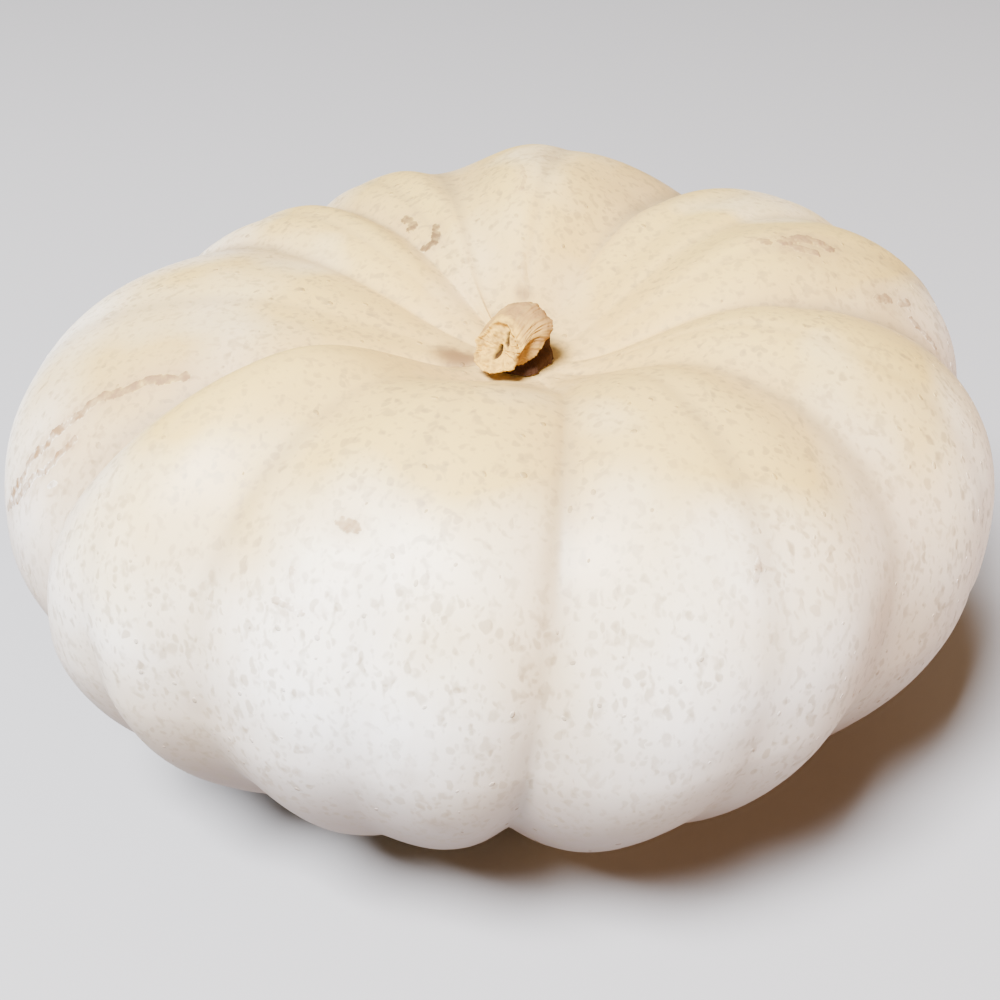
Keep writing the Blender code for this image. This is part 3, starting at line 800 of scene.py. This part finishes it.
# Scars: corky relief that rises out of the rind. Points in mm, half width, height, cork and blush strength
scars = [
    ([(-150, -47, 114), (-136.4, -49.9, 134.6), (-121.9, -46.3, 146.7), (-105, -44.3, 154.3),
      (-92.6, -45, 156.6)], 2.0, 0.32, 0.95, 0.60),
    ([(-152, -44, 107), (-148, -52, 117), (-136, -57, 130), (-126, -55.5, 140)], 1.6, 0.28, 0.90, 0.65),
    ([(-31.6, 55.9, 162.6), (-29.3, 50.9, 161.9)], 2.6, 0.40, 1.00, 0.15),
    ([(-20.5, 45.8, 164.2), (-20.0, 40.8, 162.9), (-20.8, 37.4, 161.8), (-24.7, 38.6, 159.6)],
     1.7, 0.35, 1.00, 0.10),
    ([(84.0, 10.6, 176.0), (86.4, 10.8, 175.8)], 1.6, 0.30, 0.75, 0.40),
    ([(92.8, 12.0, 174.6), (97.8, 15.4, 174.2), (103.3, 16.4, 172.7), (106.5, 15.9, 171.4)],
     2.6, 0.40, 0.90, 0.50),
    ([(96.9, 10.0, 173.2), (101.0, 11.3, 172.4)], 2.2, 0.35, 0.80, 0.60),
    ([(122.5, 3.0, 160.2), (127.1, 5.6, 158.6)], 1.9, 0.30, 0.80, 0.50),
    ([(131.0, 8.2, 156.0), (133.6, 10.3, 155.3)], 1.8, 0.25, 0.75, 0.50),
    ([(135.1, 5.0, 151.0), (140.5, 5.4, 145.8), (144.4, 6.5, 141.1)], 1.3, 0.25, 0.85, 0.50),
    ([(-39.0, -124.6, 157.8), (-36.7, -125.2, 157.4)], 2.1, 0.30, 0.70, 0.70),
    ([(-56.7, -133.3, 139.5), (-53.0, -135.5, 139.0), (-49.8, -137.0, 138.4)], 1.0, 0.20, 0.55, 0.70),
    ([(-51.9, -130.1, 146.8), (-51.8, -133.3, 142.8)], 0.9, 0.20, 0.50, 0.80),
    ([(69.8, -125.7, 148.1), (70.4, -127.9, 146.2), (68.9, -129.7, 144.6)], 1.2, 0.25, 0.65, 0.70),
    ([(-133.6, -62.0, 127.6), (-131.4, -62.4, 129.0)], 1.1, 0.20, 0.60, 0.60),
    ([(7.7, 63.0, 179.5), (9.0, 52.5, 179.1), (7.6, 46.4, 177.3)], 0.9, 0.20, 0.50, 0.60),
    # Painted shade, not a scar: a faint strip of cork colour along the shaded furrow behind the stem
    ([(8.6, 20.8, 165.5), (8.9, 12.0, 161.0), (8.6, 5.6, 157.5)], 1.2, 0.12, 0.35, 0.50),
]
scarValues = {      # lengths without mm are in half widths of the scar
    "spacing": 0.45 * mm,      # of the points
    "overrun": 1.6,            # past both ends of the route
    "spread": 1.9,             # to each side of it
    "wander": 0.9,
    "raggedness": 0.95,
    "sink": 0.9 * mm,          # of the underside, into the fruit
    "haloReach": 1.8,
    "haloStrength": 0.38,
}


def scarMesh(number, points, halfWidth, height, cork, blush, surface):      # a ragged strip of cork
    v = scarValues
    route = np.array(points) * mm
    steps = np.append(0, np.cumsum(np.linalg.norm(np.diff(route, axis=0), axis=1)))
    halfWidth, height, overrun = halfWidth * mm, height * mm, v["overrun"] * halfWidth * mm
    lengths = np.arange(-overrun, steps[-1] + overrun + v["spacing"], v["spacing"])
    pointsAcross = max(9, round(v["spread"] * halfWidth / v["spacing"]) * 2 + 1)
    widths = np.linspace(-v["spread"], v["spread"], pointsAcross)
    line = np.stack([np.interp(lengths, steps, route[:, axis]) for axis in range(3)], 1)
    before, after = np.minimum(lengths, 0)[:, None], np.maximum(lengths - steps[-1], 0)[:, None]
    line += unit(route[1] - route[0]) * before + unit(route[-1] - route[-2]) * after
    way = unit(np.gradient(line, axis=0))
    top, low, corks = [], [], []
    for point, forward, length in zip(line, way, lengths):
        normal = np.array(surface.find_nearest(Vector(point))[1])
        aside = unit(np.cross(normal, forward))
        past = max(0.0, -length, length - steps[-1]) / (1.3 * halfWidth)
        wander = v["wander"] * halfWidth * noise.noise(Vector((length / (9 * mm), number * 7.3, 0.5)))
        for share in widths:
            place, facing, *_ = surface.find_nearest(Vector(point + aside * (share * halfWidth + wander)))
            ragged = noise.noise(place / (2.6 * mm)) + 0.6 * noise.noise(place / (0.9 * mm))
            body = 1 - share * share - past * past + v["raggedness"] * ragged
            grain = 1 + 0.5 * noise.noise(place / (0.7 * mm))
            rise = height * max(-0.8, min(1.0, 1.1 * body - 0.15)) * grain
            top.append(place + facing * rise)
            low.append(place - facing * v["sink"])
            shown = max(0.0, min(1.0, rise / (0.2 * height)))
            corks.append(cork * shown * (0.85 + 0.4 * ragged))
    long, wide = len(lengths), len(widths)
    faces = []
    offset = long * wide
    for i in range(long - 1):
        for j in range(wide - 1):
            a, b, c, d = i * wide + j, i * wide + j + 1, (i + 1) * wide + j + 1, (i + 1) * wide + j
            faces.append((a, b, c, d))
            faces.append((offset + a, offset + d, offset + c, offset + b))
    border = [i * wide for i in range(long)] + list(range((long - 1) * wide + 1, offset))
    border += [i * wide + wide - 1 for i in range(long - 2, -1, -1)] + list(range(wide - 2, 0, -1))
    for here, there in zip(border, border[1:] + border[:1]):
        faces.append((here, there, offset + there, offset + here))
    return top + low, faces, corks + [0.0] * len(low), [blush] * (2 * offset)


def tintRound(fruit):      # a soft halo of cork in the rind round each scar
    places = np.array([vertex.co for vertex in fruit.data.vertices])
    halo = np.zeros(len(places))
    for points, halfWidth, _, cork, _ in scars:
        route = np.array(points) * mm
        reach = (scarValues["haloReach"] * halfWidth + 1.2) * mm
        for start, stop in zip(route, route[1:]):
            for share in np.arange(0, 1, 1.5 * mm / np.linalg.norm(stop - start)):
                away = np.linalg.norm(places - start - share * (stop - start), axis=1)
                halo = np.maximum(halo, scarValues["haloStrength"] * cork * bell(away, 0, reach))
    for key, values in (("cork", halo), ("blush", np.ones(len(places)))):
        fruit.data.attributes.new(key, "FLOAT", "POINT").data.foreach_set("value", values.astype(np.float32))


def makeScars(surface, rind):
    verts, faces, corks, blushes = [], [], [], []
    for number, scar in enumerate(scars):
        own, ownFaces, cork, blush = scarMesh(number, *scar, surface)
        faces += [tuple(corner + len(verts) for corner in face) for face in ownFaces]
        verts += own
        corks += cork
        blushes += blush
    piece = newMesh("rindScars", verts, faces, {"cork": np.clip(corks, 0, 1), "blush": blushes})
    mesh = bmesh.new()
    mesh.from_mesh(piece.data)
    bmesh.ops.recalc_face_normals(mesh, faces=mesh.faces)
    mesh.to_mesh(piece.data)
    mesh.free()
    piece.data.materials.append(rind)
    piece.data.shade_smooth()
    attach(piece, "root")
    print("scars:", len(piece.data.polygons), "faces")


fleckValues = {
    "Closest": 5.5 * mm,
    "Flecks Per Metre": 9000.0,
    "Cloud Size": 40 * mm,
    "Half Length": 1.1 * mm,
    "Half Height": 0.10 * mm,
}


def fleckTree(rind):      # small corky warts, scattered thicker in some places than in others
    tree, size = newTree("corkFlecks", fleckValues)
    where = addNode(tree, "GeometryNodeInputPosition")
    level = addNode(tree, splitAxes, where).outputs["Z"]
    scale = addNode(tree, "DIVIDE", 1.0, size["Cloud Size"])
    cloud = addNode(tree, noiseField, where, None, scale, 1.0)
    cloud = addNode(tree, ramp, cloud, 0.40, 0.62, 0.05, 1.0)
    above = addNode(tree, ramp, level, 12 * mm, 30 * mm, 0.0, 1.0)
    chance = addNode(tree, "MULTIPLY", cloud, above)
    points = addNode(tree, "GeometryNodeDistributePointsOnFaces", {
        "Mesh": size["Geometry"], "Distance Min": size["Closest"], "Density Max": size["Flecks Per Metre"],
        "Density Factor": chance, "Seed": 4}, distribute_method="POISSON")
    wart = addNode(tree, "GeometryNodeMeshUVSphere", 9, 5, 1.0)
    upper = addNode(tree, splitAxes, addNode(tree, "GeometryNodeInputPosition")).outputs["Z"]
    upper = addNode(tree, ramp, upper, 0.1, 0.9, 0.0, 0.38)
    wart = addNode(tree, "GeometryNodeStoreNamedAttribute", wart, None, "cork", upper,
                   data_type="FLOAT", domain="POINT")
    draws = []      # length, width as a share of it, and turn from the line to the crown, in radians
    for low, high, seed in ((0.45, 1.15, 11), (0.45, 0.85, 12), (-0.9, 0.9, 13)):
        draw = addNode(tree, "FunctionNodeRandomValue", {2: low, 3: high, "Seed": seed}, data_type="FLOAT")
        draws.append(draw.outputs[1])
    long = addNode(tree, "MULTIPLY", draws[0], size["Half Length"])
    wide = addNode(tree, "MULTIPLY", long, draws[1])
    scales = addNode(tree, joinAxes, wide, long, size["Half Height"])
    spin = addNode(tree, joinAxes, 0.0, 0.0, draws[2])
    spin = addNode(tree, "FunctionNodeEulerToRotation", spin)
    turned = addNode(tree, "FunctionNodeRotateRotation", points.outputs["Rotation"], spin,
                     rotation_space="LOCAL")
    placed = addNode(tree, "GeometryNodeInstanceOnPoints", {
        "Points": points.outputs["Points"], "Instance": wart, "Rotation": turned, "Scale": scales})
    endTree(tree, placed, rind)
    return tree


def makeFlecks(fruit, rind):
    piece = bpy.data.objects.new("rindFlecks", fruit.data.copy())
    bpy.context.scene.collection.objects.link(piece)
    applyTree(piece, fleckTree(rind), fleckValues)
    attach(piece, "root")
    print("flecks:", len(piece.data.polygons), "faces")


# The camera stands where the photo was taken from, and aims at a point beside the fruit's middle
view = {
    "elevation": 33.57,
    "distance": 569.5 * mm,
    "lens": 60.82,
    "sensorWidth": 36.0,
    "roll": 0.46,
    "aimX": 3.17 * mm,
    "aimY": -6.45 * mm,
}


def makeCamera(shift):
    camera = bpy.data.objects.new("camera", bpy.data.cameras.new("camera"))
    camera.data.lens = view["lens"]
    camera.data.sensor_width = view["sensorWidth"]
    aim = Vector((view["aimX"], view["aimY"], fruitValues["Rest Drop"])) + shift
    rise = radians(view["elevation"])
    away = Vector((0.0, -cos(rise), sin(rise)))
    turn = away.to_track_quat("Z", "Y").to_matrix() @ Matrix.Rotation(radians(view["roll"]), 3, "Z")
    camera.matrix_world = Matrix.Translation(aim + away * view["distance"]) @ turn.to_4x4()
    bpy.context.scene.collection.objects.link(camera)
    bpy.context.scene.camera = camera


lightValues = [      # name, place in metres, size, power, colour
    ("keySoftbox", (-0.65, -1.1, 1.97), 0.72, 455.0, "#F3F6FF"),
    ("warmFill", (1.7, -0.5, 0.6), 1.2, 34.0, "#FFC490"),
    ("topPanel", (0.1, 0.7, 1.6), 1.6, 6.0, "#FFE2B8"),
]
roomValues = {
    "lightAim": (0.0, 0.0, 0.08),
    "wallColour": "#FBF8F4",
    "wallLight": 0.065,
    "floorColour": "#8F8D8B",
    "floorRoughness": 0.9,
    "floorReach": 4.0,
}


def makeRoom():
    v = roomValues
    for name, place, width, power, colour in lightValues:
        lamp = bpy.data.lights.new(name, "AREA")
        lamp.size = width
        lamp.energy = power
        lamp.color = linear(colour)[:3]
        holder = bpy.data.objects.new(name, lamp)
        holder.location = place
        holder.rotation_euler = (Vector(v["lightAim"]) - Vector(place)).to_track_quat("-Z", "Y").to_euler()
        bpy.context.scene.collection.objects.link(holder)
    world = bpy.data.worlds.new("paleRoom")
    world.use_nodes = True
    walls = world.node_tree.nodes["Background"]
    walls.inputs[0].default_value = linear(v["wallColour"])
    walls.inputs[1].default_value = v["wallLight"]
    bpy.context.scene.world = world
    reach = v["floorReach"]
    corners = [(-reach, -reach, 0), (reach, -reach, 0), (reach, reach, 0), (-reach, reach, 0)]
    floor = newMesh("paleFloor", corners, [(0, 1, 2, 3)])
    material = bpy.data.materials.new("paleFloor")
    material.use_nodes = True
    paint = material.node_tree.nodes["Principled BSDF"]
    paint.inputs["Base Color"].default_value = linear(v["floorColour"])
    paint.inputs["Roughness"].default_value = v["floorRoughness"]
    floor.data.materials.append(material)
    print("room:", len(lightValues), "lights")


rind = rindMaterial()
fruit, originShift = makeFruit(rind)
makeStem(corkMaterial())
surface = BVHTree.FromObject(fruit, bpy.context.evaluated_depsgraph_get())
makeScars(surface, rind)
makeFlecks(fruit, rind)
tintRound(fruit)
makeCamera(originShift)
makeRoom()
